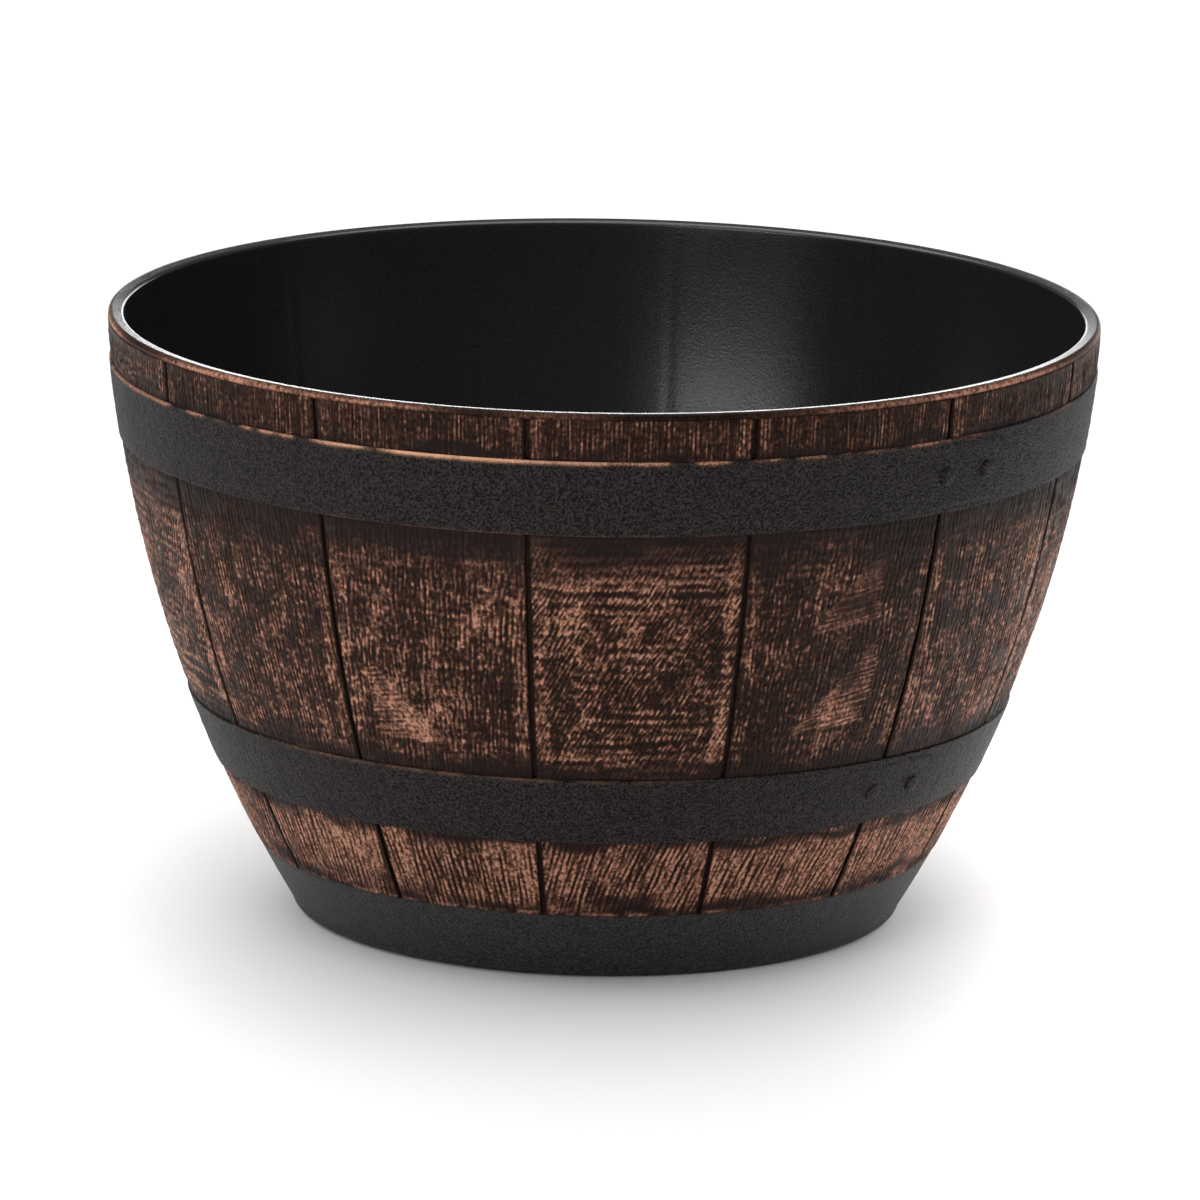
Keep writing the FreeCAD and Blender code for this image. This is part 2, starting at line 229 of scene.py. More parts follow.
# Wear on the hoops' edges: a copper line, painted brighter towards the key light as highlight and weaker
# far from it, and a painted glint highlight on the top edge
WEAR_AND_GLINT_SHARE = {"upper_hoop": 1.0, "lower_hoop": 0.1}
# Turn towards the key light, where the copper line is painted brighter as highlight
LIT_SIDE_TURN = FRONT_TURN - math.radians(35)
WEAR = 0.45
LIT_SIDE_WEIGHT = 0.6
WEAR_FINE = 0.6
WEAR_SLOW = 0.5
WEAR_FINE_LENGTH = 2.5 * MM
WEAR_SLOW_LENGTH = 14 * MM
FAR_SIDE_SHARE = 0.2
FAR_SIDE_FADE = (0.15, 0.75)
TOP_LINE_WEIGHT = 1.6
TOP_LINE_WIDTH = 0.85 * MM
LOW_LINE_WEIGHT = 0.2
LOW_LINE_WIDTH = 0.6 * MM
# Painted highlight (glint) on the upper hoop's top edge, a little left of the front
GLINT_TURN = FRONT_TURN - math.radians(19)
GLINT_SPREAD = math.radians(19)
GLINT = 0.7
GLINT_FINE = 0.6

# Drain plug
PLUG_STEM_RADIUS = 7.7 * MM
PLUG_FLANGE_RADIUS = 12.5 * MM
PLUG_FLANGE_THICKNESS = 2 * MM
PLUG_NECK_RADIUS = 3.5 * MM
PLUG_NECK_ROUND = 1 * MM
PLUG_GRIP_RADIUS = 6 * MM
PLUG_GRIP_HEIGHT = 4 * MM
PLUG_ROUND = 0.7 * MM
PLUG_FOOT_RINGS = (0.2, 0.7)
PLUG_HEAD_RINGS = (0.5, 0.1)

# Mesh fineness
BOARD_ROWS = 400
BOARD_COLUMNS = 170
BACK_COLUMNS = 5
POT_COLUMNS = STAVE_COUNT * 50
FOOT_ROWS = 12
JOINT_ROWS = 24
RIM_SLOPE_ROWS = 2
INSIDE_ROWS = 30
FLOOR_ROWS = 12
UNDERSIDE_ROWS = 8
FOOT_ROW_GAP = 2 * MM
INSIDE_ROW_GAP = 3 * MM
HOOP_COLUMNS = 1500
HOOP_ROWS = 36
HOOP_BACK_ROWS = 6
SMALL_COLUMNS = 48
ROUND_POINTS = 8
NEAR = 0.1 * MM
SAME = 0.01 * MM
MAP_NAME = "OFBake"
MAP_FACE_END = 0.94
MAP_BACK_START = 0.95

# Seeds of the random draws
POT_SEED = 20
STAVE_SEED = POT_SEED + 1
HOOP_SEED = POT_SEED + 100


# The wall's arc

def bow_centre():
    """Centre of the arc that runs from the foot to the rim, as radius and height."""
    foot = np.array([FOOT_RADIUS, 0.0])
    rim = np.array([RIM_RADIUS, POT_HEIGHT])
    chord = rim - foot
    length = np.linalg.norm(chord)
    inward = np.array([-chord[1], chord[0]]) / length
    return (foot + rim) / 2 + inward * math.sqrt(BOW_RADIUS**2 - length**2 / 4)


BOW_X, BOW_Z = bow_centre()


def outside(height):
    """Radius of the outer wall at a height."""
    return BOW_X + np.sqrt(BOW_RADIUS**2 - (height - BOW_Z) ** 2)


def inside(height):
    """Radius of the inner wall, which thickens from the foot to the rim."""
    return outside(height) - FOOT_WALL - (RIM_WIDTH - FOOT_WALL) * height / POT_HEIGHT


def joint_floor(height):
    """Radius of the bottom of the joints between the boards."""
    return outside(height) - JOINT_DEPTH


def on_wall(height, turn, lift):
    """Points that stand a lift off the outer wall, square to its arc."""
    radius = outside(height)
    out = radius + lift * (radius - BOW_X) / BOW_RADIUS
    up = height + lift * (height - BOW_Z) / BOW_RADIUS
    return np.stack(np.broadcast_arrays(out * np.cos(turn), out * np.sin(turn), up), axis=-1)


# Noise and masks

def waves(shape, cell):
    """Wave numbers down and across a grid, for cells of a size."""
    down = np.fft.fftfreq(shape[0])[:, None] * FULL_TURN / cell[0]
    across = np.fft.rfftfreq(shape[1])[None, :] * FULL_TURN / cell[1]
    return down, across


def filtered(rng, shape, weight):
    """Seeded random values on a grid, with their waves weighted."""
    return np.fft.irfft2(np.fft.rfft2(rng.standard_normal(shape)) * weight, s=shape)


def noise(rng, shape, cell, spread):
    """Smooth noise of unit strength. Cell and spread are lengths down and across the grid."""
    down, across = waves(shape, cell)
    blur = np.exp(-((down * spread[0]) ** 2 + (across * spread[1]) ** 2) / 2)
    field = filtered(rng, shape, blur)
    return (field - field.mean()) / field.std()


def ripple(rng, shape, cell, period, length, slant):
    """Lines of unit strength that wander down the grid, a period apart and broken at a length."""
    down, across = waves(shape, cell)
    pitch = FULL_TURN / period
    off_pitch = (across - pitch) / (RIPPLE_BAND * pitch)
    off_slant = (down + slant * across) * length
    field = filtered(rng, shape, np.exp(-(off_pitch**2 + off_slant**2) / 2))
    return field / field.std()


def ramp(value, low, high):
    """A smooth step from 0 at low to 1 at high."""
    part = np.clip((value - low) / (high - low), 0, 1)
    return part * part * (3 - 2 * part)


def fade(distance, length):
    """1 at a place and falling away over a length, on both sides of it."""
    return np.exp(-((distance / length) ** 2))


# Meshes

def marks(points):
    """Lengths along a line of points, as shares of its whole length."""
    steps = np.linalg.norm(np.diff(points, axis=0), axis=1)
    return np.concatenate([[0], np.cumsum(steps)]) / steps.sum()


def wrapped(grid, axis):
    """A grid with its first row or column repeated at the end."""
    return np.concatenate([grid, np.take(grid, [0], axis=axis)], axis=axis)


def around(grid, axis):
    """The four corners of each cell of a grid, in turn, along a new axis."""
    return np.stack([grid[:-1, :-1], grid[:-1, 1:], grid[1:, 1:], grid[1:, :-1]], axis)


def woven(name, points, ring, fields, across=None):
    """A closed mesh from rows of points. Each row is a loop. The rows close up as a ring, or get caps."""
    rows, columns = points.shape[:2]
    numbers = wrapped(np.arange(rows * columns).reshape(rows, columns), 1)
    numbers = wrapped(numbers, 0) if ring else numbers
    closed = wrapped(points, 0) if ring else points
    across = marks(wrapped(points[rows // 2], 0)) if across is None else across
    places = np.stack(np.meshgrid(across, marks(closed[:, 0])), -1)
    caps = [] if ring else [np.arange(columns)[::-1], np.arange((rows - 1) * columns, rows * columns)]
    cap_places = [] if ring else [places[0, :-1][::-1], places[-1, :-1]]
    quads, corners = around(numbers, -1).reshape(-1, 4), around(places, 2)
    return fill_mesh(name, points, quads, corners, caps, cap_places, fields)


def fill_mesh(name, points, quads, corners, caps, cap_places, fields):
    """Writes points, faces, map and named point fields to a new mesh object."""
    mesh = bpy.data.meshes.new(name)
    mesh.vertices.add(points.size // 3)
    mesh.vertices.foreach_set("co", points.astype(np.float32).ravel())
    sizes = [4] * len(quads) + [len(cap) for cap in caps]
    mesh.loops.add(sum(sizes))
    mesh.loops.foreach_set("vertex_index", np.concatenate([quads.ravel(), *caps]).astype(np.int32))
    mesh.polygons.add(len(sizes))
    starts = np.concatenate([[0], np.cumsum(sizes)[:-1]])
    mesh.polygons.foreach_set("loop_start", starts.astype(np.int32))
    mesh.update(calc_edges=True)
    layer = mesh.uv_layers.new(name=MAP_NAME)
    places = np.concatenate([corners.reshape(-1, 2), *cap_places])
    layer.uv.foreach_set("vector", places.astype(np.float32).ravel())
    for field, values in fields.items():
        held = mesh.attributes.new(field, "FLOAT", "POINT")
        held.data.foreach_set("value", values.astype(np.float32).ravel())
    mesh.validate()
    mesh.shade_smooth()
    thing = bpy.data.objects.new(name, mesh)
    bpy.context.scene.collection.objects.link(thing)
    return thing


def dress(thing, material, body, slot, *nodes):
    """Gives a piece its finish, the body that it rides and the nodes that it stands for."""
    thing.data.materials.append(material)
    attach(thing, body)
    if nodes:
        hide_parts(*nodes)


def turned(profile, columns):
    """Rows of points of a profile of radius and height, turned round the axis."""
    turn = np.arange(columns) * FULL_TURN / columns
    radius, height = profile[:, :1], profile[:, 1:]
    flat = np.zeros_like(turn)
    return np.stack([radius * np.cos(turn), radius * np.sin(turn), height + flat], axis=-1)


def corner(start, end, swing):
    """A quarter round from start to end. It leaves along the radius, or along the height."""
    bend = np.linspace(0, QUARTER_TURN, ROUND_POINTS)
    early, late = np.sin(bend), 1 - np.cos(bend)
    shares = (early, late) if swing == "radius" else (late, early)
    steps = [begin + (stop - begin) * share for begin, stop, share in zip(start, end, shares)]
    return np.stack(steps, axis=-1)


def straight(start, end, count):
    """Evenly spaced profile points between two points, without the ends."""
    return np.linspace(start, end, count + 2)[1:-1]


def wall_run(radius_at, low, high, count):
    """Profile points along a wall from one height to another."""
    heights = np.linspace(low, high, count)
    return np.stack([radius_at(heights), heights], axis=-1)


# Finishes: linear colours, grain per metre along each axis, and bump as a length

COPPER_DEEP = (0.20, 0.085, 0.052)
COPPER_BRIGHT = (0.49, 0.24, 0.16)
# Colour of the painted highlight (glint) on the hoops' top edge
GLINT_HIGHLIGHT_COLOUR = (1.0, 0.56, 0.34)
SOOT = (0.0126, 0.0072, 0.0067)

Finish = namedtuple("Finish", "light deep grain roughness specular bump")
FINISHES = {
    "painted_resin": Finish(
        light=(0.019, 0.0085, 0.005),
        deep=(0.006, 0.0025, 0.0015),
        grain=(850, 850, 700),
        roughness=0.5,
        specular=0.075,
        bump=0.12 * MM,
    ),
    "bare_resin": Finish(
        light=(0.020, 0.019, 0.020),
        deep=(0.013, 0.0125, 0.013),
        grain=(1300, 1300, 1300),
        roughness=0.5,
        specular=0.52,
        bump=0.06 * MM,
    ),
    "black_resin": Finish(
        light=(0.045, 0.039, 0.037),
        deep=(0.006, 0.005, 0.005),
        grain=(1200, 1200, 1200),
        roughness=0.48,
        specular=0.08,
        bump=1.4 * MM,
    ),
    # A lighter copy of the strap's black: painted light that stands in for light bounced up from the floor
    "lit_foot_resin": Finish(
        light=(0.052, 0.046, 0.046),
        deep=(0.010, 0.009, 0.009),
        grain=(1200, 1200, 1200),
        roughness=0.48,
        specular=0.2,
        bump=1.0 * MM,
    ),
    "plug_rubber": Finish(
        light=(0.02, 0.02, 0.02),
        deep=(0.012, 0.012, 0.012),
        grain=(1400, 1400, 1400),
        roughness=0.675,
        specular=0.35,
        bump=0.03 * MM,
    ),
}
SPECK_DETAIL = 3.0
CLOUD_GRAIN = (60, 60, 25)
CLOUD_DETAIL = 2.0

# Spans of values in the finishes, from which and to which they are spread
UNIT_SPAN = (0.0, 1.0)
NOISE_SPAN = (0.3, 0.7)
CRACKLE_SPAN = (0.25, 1.5)
COPPER_SPAN = (0.2, 1.0)
RESIN_SPAN = (0.4, 0.62)
POLISH_SPAN = (0.0, -0.3)
RESIN_SCUFF = 0.02
RUBBER_SCUFF = 0.075

# Sockets of a mix node: its share, its two colours and its result
MIX_SHARE = 0
MIX_COLOURS = (6, 7)
MIX_RESULT = 2


def add_node(tree, kind, **settings):
    """A new shader node with some settings."""
    node = tree.nodes.new(kind)
    for key, value in settings.items():
        setattr(node, key, value)
    return node


def spotted(tree, scale, detail):
    """Noise fixed to the piece, with its own scale along each axis, per metre."""
    place = add_node(tree, "ShaderNodeTexCoord")
    mapping = add_node(tree, "ShaderNodeMapping")
    mapping.inputs["Scale"].default_value = scale
    texture = add_node(tree, "ShaderNodeTexNoise")
    texture.inputs["Scale"].default_value = 1.0
    texture.inputs["Detail"].default_value = detail
    tree.links.new(mapping.inputs["Vector"], place.outputs["Object"])
    tree.links.new(texture.inputs["Vector"], mapping.outputs["Vector"])
    return texture.outputs["Fac"]


def point_field(tree, name):
    """A named field of the mesh's points, which is 0 on a piece without it."""
    return add_node(tree, "ShaderNodeAttribute", attribute_name=name).outputs["Fac"]


def remapped(tree, value, span, reach=UNIT_SPAN):
    """A value within a span, spread over a reach and held at its ends."""
    node = add_node(tree, "ShaderNodeMapRange")
    tree.links.new(node.inputs["Value"], value)
    limits = {"From Min": span[0], "From Max": span[1], "To Min": reach[0], "To Max": reach[1]}
    for key, limit in limits.items():
        node.inputs[key].default_value = limit
    return node.outputs["Result"]


def joined(tree, operation, first, second):
    """Two values joined by a sum or a product."""
    node = add_node(tree, "ShaderNodeMath", operation=operation)
    tree.links.new(node.inputs[0], first)
    tree.links.new(node.inputs[1], second)
    return node.outputs[0]


def mixed(tree, share, first, second):
    """A colour between two, each of them a plain colour or a socket."""
    node = add_node(tree, "ShaderNodeMix", data_type="RGBA")
    tree.links.new(node.inputs[MIX_SHARE], share)
    for place, colour in zip(MIX_COLOURS, (first, second)):
        if isinstance(colour, tuple):
            node.inputs[place].default_value = (*colour, 1)
        else:
            tree.links.new(node.inputs[place], colour)
    return node.outputs[MIX_RESULT]


def bumped(tree, shader, height, distance):
    """Tilts the surface by a height field."""
    bump = add_node(tree, "ShaderNodeBump")
    bump.inputs["Distance"].default_value = distance
    tree.links.new(bump.inputs["Height"], height)
    tree.links.new(shader.inputs["Normal"], bump.outputs["Normal"])


def new_finish(name, specular):
    """A new material, its node tree and its shader."""
    material = bpy.data.materials.new(name)
    material.use_nodes = True
    shader = material.node_tree.nodes["Principled BSDF"]
    shader.inputs["Specular IOR Level"].default_value = specular
    return material, material.node_tree, shader


def painted_colour(tree, finish, speck):
    """Resin with copper where the paint field says, soot under it and a painted glint highlight over it.
    """
    crackle = remapped(tree, speck, NOISE_SPAN, CRACKLE_SPAN)
    broken = joined(tree, "MULTIPLY", point_field(tree, "paint"), crackle)
    paint = remapped(tree, broken, UNIT_SPAN)
    copper = mixed(tree, remapped(tree, broken, COPPER_SPAN), COPPER_DEEP, COPPER_BRIGHT)
    resin = mixed(tree, remapped(tree, speck, RESIN_SPAN), finish.deep, finish.light)
    sooty = mixed(tree, point_field(tree, "soot"), resin, SOOT)
    return mixed(tree, point_field(tree, "painted_glint"), mixed(tree, paint, sooty, copper), GLINT_HIGHLIGHT_COLOUR)


def painted_finish(name):
    """Resin that takes paint, with a polish field that smooths it."""
    finish = FINISHES[name]
    material, tree, shader = new_finish(name, finish.specular)
    speck = spotted(tree, finish.grain, SPECK_DETAIL)
    cloud = spotted(tree, CLOUD_GRAIN, CLOUD_DETAIL)
    tree.links.new(shader.inputs["Base Color"], painted_colour(tree, finish, speck))
    rough_span = (finish.roughness - RESIN_SCUFF, finish.roughness + RESIN_SCUFF)
    scuffed = remapped(tree, cloud, NOISE_SPAN, rough_span)
    polish = remapped(tree, point_field(tree, "polish"), UNIT_SPAN, POLISH_SPAN)
    tree.links.new(shader.inputs["Roughness"], joined(tree, "ADD", scuffed, polish))
    bumped(tree, shader, speck, finish.bump)
    return material


def rubber_finish(name):
    """Plain soft rubber for the plug."""
    finish = FINISHES[name]
    material, tree, shader = new_finish(name, finish.specular)
    speck = spotted(tree, finish.grain, SPECK_DETAIL)
    colour = mixed(tree, remapped(tree, speck, NOISE_SPAN), finish.deep, finish.light)
    rough_span = (finish.roughness - RUBBER_SCUFF, finish.roughness + RUBBER_SCUFF)
    tree.links.new(shader.inputs["Base Color"], colour)
    tree.links.new(shader.inputs["Roughness"], remapped(tree, speck, NOISE_SPAN, rough_span))
    bumped(tree, shader, speck, finish.bump)
    return material


# Pot

def outer_runs():
    """The section's outside: the foot's round, the bare foot, the joint floors and the lip."""
    foot_edge = (outside(FOOT_ROUND_HEIGHT), FOOT_ROUND_HEIGHT)
    return [
        corner((outside(0.0) - FOOT_ROUND_WIDTH, 0.0), foot_edge, "radius"),
        wall_run(outside, FOOT_ROUND_HEIGHT + FOOT_ROW_GAP, BOARD_BOTTOM, FOOT_ROWS),
        wall_run(joint_floor, BOARD_BOTTOM + JOINT_FOOT_SLOPE, BOARD_TOP - JOINT_HEAD_SLOPE, JOINT_ROWS),
        np.array([[outside(BOARD_TOP) - RIM_LIP_INSET, BOARD_TOP]]),
    ]


def rim_runs():
    """The section's rim: the lip's round, a slight slope inward and the inner round."""
    rim_outer, rim_inner = outside(LIP_HEIGHT) - RIM_LIP_INSET, inside(LIP_HEIGHT)
    slope_top = (rim_inner + RIM_ROUND + RIM_SLOPE_WIDTH, POT_HEIGHT)
    slope_foot = (rim_inner + RIM_ROUND, POT_HEIGHT - RIM_SLOPE_DROP)
    inner_lip = (rim_inner, slope_foot[1] - RIM_ROUND)
    return [
        corner((rim_outer, LIP_HEIGHT), (rim_outer - RIM_ROUND, POT_HEIGHT), "height"),
        np.array([slope_top]),
        straight(slope_top, slope_foot, RIM_SLOPE_ROWS),
        corner(slope_foot, inner_lip, "radius"),
    ]


def floor_runs():
    """The section's inside: down the wall to floor and drain, and back under the floor to the foot."""
    wall_base = FLOOR_TOP + FLOOR_ROUND
    floor_edge = (inside(wall_base) - FLOOR_ROUND, FLOOR_TOP)
    drain_top = (DRAIN_RADIUS + DRAIN_ROUND, FLOOR_TOP)
    drain_side = (DRAIN_RADIUS, FLOOR_TOP - DRAIN_ROUND)
    drain_foot = (DRAIN_RADIUS, FLOOR_UNDERSIDE)
    ring = FOOT_RADIUS - FOOT_RING_WIDTH
    ring_side = (ring, FLOOR_UNDERSIDE - UNDERSIDE_ROUND)
    return [
        wall_run(inside, LIP_HEIGHT - INSIDE_ROW_GAP, wall_base, INSIDE_ROWS),
        corner((inside(wall_base), wall_base), floor_edge, "height")[1:],
        straight(floor_edge, (drain_top[0] + DRAIN_ROUND, FLOOR_TOP), FLOOR_ROWS),
        corner(drain_top, drain_side, "radius"),
        np.array([drain_foot]),
        straight(drain_foot, (ring, FLOOR_UNDERSIDE), UNDERSIDE_ROWS),
        corner((ring - UNDERSIDE_ROUND, FLOOR_UNDERSIDE), ring_side, "radius"),
        np.array([[ring, 0.0]]),
    ]


def pot_places(radius, height):
    """Which points of the profile lie on each place of the pot that has its own look."""
    rim_edge = inside(POT_HEIGHT) + RIM_ROUND + RIM_SLOPE_WIDTH
    return SimpleNamespace(
        inner=(radius < inside(height) + NEAR) & (height > FLOOR_TOP + FLOOR_ROUND - NEAR),
        lip=(height > BOARD_TOP - LIP_REACH) & (radius > outside(height) - RIM_ROUND - RIM_LIP_INSET),
        rim=(height > POT_HEIGHT - 2 * RIM_ROUND) & (radius < rim_edge),
        joint=np.abs(radius - joint_floor(height)) < SAME,
        foot=(height < BOARD_BOTTOM + NEAR) & (radius > outside(height) - FOOT_ROUND_WIDTH - NEAR),
    )


def inside_ridges(radius, height, inner):
    """How far the ridges stand in from the inner wall, behind the joints."""
    turn = np.arange(POT_COLUMNS) * FULL_TURN / POT_COLUMNS
    from_joint = (turn - FIRST_STAVE_TURN) % STAVE_PITCH - STAVE_PITCH / 2
    along = ramp(height, *RIDGE_START) * ramp(POT_HEIGHT - height, *RIDGE_END) * inner
    return along[:, None] * fade(from_joint * radius[:, None], RIDGE_WIDTH) * RIDGE_HEIGHT


def lip_paint(height, lip):
    """The patchy line of copper round the lip."""
    rng = np.random.default_rng(POT_SEED)
    patchy = noise(rng, (1, POT_COLUMNS), (MM, MM), (MM, LIP_PATCH_LENGTH))
    line = lip * fade(height - LIP_HEIGHT, LIP_LINE_WIDTH)
    return np.clip(line[:, None] * (LIP_PAINT + LIP_PATCH_WEIGHT * patchy), 0, 1)


def make_pot(finish, joint_finish, foot_finish):
    """The moulding behind the staves: bare inside, painted on joints and lip, and black at the foot,
    lightened there as painted light.
    """
    profile = np.concatenate(outer_runs() + rim_runs() + floor_runs())
    radius, height = profile.T
    places = pot_places(radius, height)
    points = turned(profile, POT_COLUMNS)
    ridges = inside_ridges(radius, height, places.inner)
    points[..., :2] *= 1 - (ridges / radius[:, None])[..., None]
    paint = lip_paint(height, places.lip)
    polish = np.broadcast_to((places.inner | places.rim)[:, None], paint.shape)
    pot = woven("pot_moulding", points, True, {"paint": paint, "polish": polish})
    dress(pot, finish, "planter", "painted_resin", "barrel_pot")
    pot.data.materials.append(joint_finish)
    pot.data.materials.append(foot_finish)
    painted = places.lip | places.joint
    footed = places.foot & np.roll(places.foot, -1)
    unpainted = np.where(footed, FOOT_INDEX, BARE_INDEX)
    chosen = np.where(painted | np.roll(painted, -1), PAINTED_INDEX, unpainted)
    pot.data.polygons.foreach_set("material_index", np.repeat(chosen, POT_COLUMNS).astype(np.int32))


# Staves: each style has its stroke length in mm, slants, shares of the marks, and sails that lean

Style = namedtuple("Style", "length slant low rows streaks cover sails lean", defaults=(0, 1))
STYLES = {
    "sawn": Style(length=1.0, slant=0.5, low=0.4, rows=0.7, streaks=0.1, cover=0.3),
    "arched": Style(length=1.8, slant=0.05, low=0.3, rows=0.3, streaks=0.2, cover=-0.5, sails=2, lean=-1),
    "combed": Style(length=2.6, slant=-0.05, low=0.1, rows=0.2, streaks=0.6, cover=0.0),
    "split": Style(length=1.8, slant=0.05, low=-0.1, rows=0.3, streaks=0.5, cover=0.05, sails=1),
}
STYLE_ORDER = [
    "sawn", "arched", "combed", "split", "sawn", "combed", "arched",
    "split", "sawn", "combed", "arched", "sawn", "combed", "split",
]


def board_grain(rng, style, shape, cell):
    """The marks on one board's face, each a field of unit strength."""
    flat_shape, flat_cell = shape[::-1], cell[::-1]
    return SimpleNamespace(
        strokes=ripple(rng, shape, cell, GRAIN_PERIOD, style.length * MM, style.slant),
        lines=ripple(rng, shape, cell, LINE_PERIOD, LINE_LENGTH, style.low),
        comb=ripple(rng, shape, cell, COMB_PERIOD, COMB_LENGTH, 0.0),
        rows=ripple(rng, flat_shape, flat_cell, ROW_PERIOD, ROW_LENGTH, 0.0).T,
        brush=ripple(rng, flat_shape, flat_cell, GRAIN_PERIOD, BRUSH_LENGTH, BRUSH_SLANT).T,
        streaks=np.clip(ripple(rng, shape, cell, STREAK_PERIOD, STREAK_LENGTH, 0.0), 0, STREAK_LIMIT),
        fine=noise(rng, shape, cell, FINE_SPREAD),
        cloud=noise(rng, shape, cell, CLOUD_SPREAD),
        broad=noise(rng, shape, cell, BROAD_SPREAD),
    )


def board_zones(height):
    """Shares of the low zone, the top zone and the middle at a height."""
    return SimpleNamespace(
        low=ramp(LOWER_BOTTOM - height, -ZONE_EDGE, ZONE_EDGE),
        top=ramp(height, UPPER_TOP - ZONE_EDGE, UPPER_TOP + ZONE_EDGE),
        middle=fade(height - (LOWER_TOP + UPPER_BOTTOM) / 2, MIDDLE_SPREAD),
    )


def sail_mask(rng, style, height, across, width, ragged):
    """Smooth patches shaped like sails with ragged edges, one above another."""
    mask = np.zeros_like(across * height)
    base = LOWER_TOP + rng.uniform(*SAIL_BASE)
    middle = rng.uniform(-SAIL_SHIFT, SAIL_SHIFT) * width
    for _ in range(style.sails):
        tall = rng.uniform(*SAIL_TALL)
        wide = rng.uniform(*SAIL_WIDE) * width
        share = (height - base) / tall
        place = style.lean * (across - middle) + wide / 2 + SAIL_RAGGED * ragged
        far_side = wide * np.clip(SAIL_PEAK - share, 0, 1)
        sides = ramp(place, 0, SAIL_NEAR_EDGE) * ramp(far_side - place, 0, SAIL_FAR_EDGE)
        foot = ramp(share + SAIL_FOOT_TILT * place / wide, *SAIL_FOOT)
        mask = np.maximum(mask, sides * foot)
        base = base + tall * SAIL_SPACING
    return mask


def overspray(height, wobble):
    """Share of black that was sprayed past the hoops and the foot, onto the boards beside them."""
    black = np.zeros_like(wobble)
    for edge, reach in OVERSPRAY_REACH.items():
        black = np.maximum(black, fade(height - edge + wobble, reach))
    return black


def edge_bands(style, height, edge):
    """Copper rubbed on along a board's sides, and all round a sawn board, with a dark rule beside it."""
    inset = edge
    if style is STYLES["sawn"]:
        ends = np.minimum(UPPER_BOTTOM - SAWN_TOP_GAP - height, height - LOWER_TOP - SAWN_FOOT_GAP)
        inset = np.where(ends > -BAND_INSET, np.minimum(edge, np.maximum(ends, 0)), edge)
    return fade(inset - BAND_INSET, BAND_WIDTH) - fade(inset - RULE_INSET, RULE_WIDTH)


def board_paint(style, grain, zones, sawn, sails, bands):
    """Share of copper on one board's face: dry paint that catches on the grain."""
    low, top = zones.low, zones.top
    caught = (STROKE_WEIGHT * grain.strokes + sawn) * (1 - low) * (1 - top)
    caught = caught + LINE_WEIGHT * grain.lines * low + COMB_WEIGHT * grain.comb * top
    brushed = SAIL_BRUSH_WEIGHT * grain.brush + SAIL_PAINT
    caught = caught * (1 - SAIL_CALM * sails) + brushed * sails
    cover = CLOUD_WEIGHT * grain.cloud + BROAD_WEIGHT * grain.broad + style.cover
    streaked = STREAK_WEIGHT * style.streaks * grain.streaks * (1 - top)
    cover = cover * (1 - TOP_CALM * top) + streaked - TOP_BARE * top
    low_cover = LOW_COVER + LOW_CLOUD_WEIGHT * grain.cloud + BROAD_WEIGHT * grain.broad
    cover = (cover + BAND_WEIGHT * bands) * (1 - low) + low_cover * low
    fine_weight = FINE_WEIGHT - FINE_LOW_CALM * low - FINE_TOP_CALM * top - FINE_SAIL_CALM * sails
    paint = ramp(caught + fine_weight * grain.fine + cover, PAINT_START - LOW_START_DROP * low, PAINT_FULL)
    return PAINT_FILM + (1 - PAINT_FILM) * paint


def board_relief(grain, zones, sawn, sails):
    """How far one board's grain and saw rows stand off its face."""
    strokes = grain.strokes * (1 - zones.low) + grain.lines * zones.low
    strokes = strokes * (1 - SAIL_CALM * sails) + FINE_RELIEF_SHARE * grain.fine
    rows = np.clip(sawn, *ROW_LIMITS) * (1 - zones.low)
    return GRAIN_RELIEF * np.clip(strokes, *GRAIN_LIMITS) + ROW_RELIEF * rows


def stave_surface(rng, style, height, across, edge, width):
    """Relief, paint and soot of one board's face."""
    shape = across.shape
    cell = ((BOARD_TOP - BOARD_BOTTOM) / shape[0], width / shape[1])
    zones = board_zones(height)
    grain = board_grain(rng, style, shape, cell)
    ragged = RAGGED_BRUSH * grain.brush + RAGGED_CLOUD * grain.cloud
    sails = sail_mask(rng, style, height, across, width, ragged)
    wobble = noise(rng, shape, cell, WOBBLE_SPREAD) * WOBBLE_REACH
    sawn = grain.rows * style.rows * (1 - MIDDLE_CALM * zones.middle)
    paint = board_paint(style, grain, zones, sawn, sails, edge_bands(style, height, edge))
    soot = overspray(height, wobble)
    foot_line = fade(height - BOARD_BOTTOM - FOOT_LINE_RISE, FOOT_LINE_WIDTH) * ramp(grain.cloud, -1, 1)
    paint = paint * (1 - OVERSPRAY_SHARE * soot) + FOOT_LINE_PAINT * foot_line
    bare = ramp(BARE_EDGE - edge, 0, BARE_EDGE_FADE)
    return board_relief(grain, zones, sawn, sails), paint * (1 - bare), soot


def hoop_dip(height):
    """How far the boards fall back under the hoops, so that the straps lie in them."""
    dip = np.zeros_like(height)
    for low, high in HOOPS.values():
        dip = dip + ramp(height - low, *DIP_EDGE) * ramp(high - height, *DIP_EDGE)
    return dip * BOARD_DIP


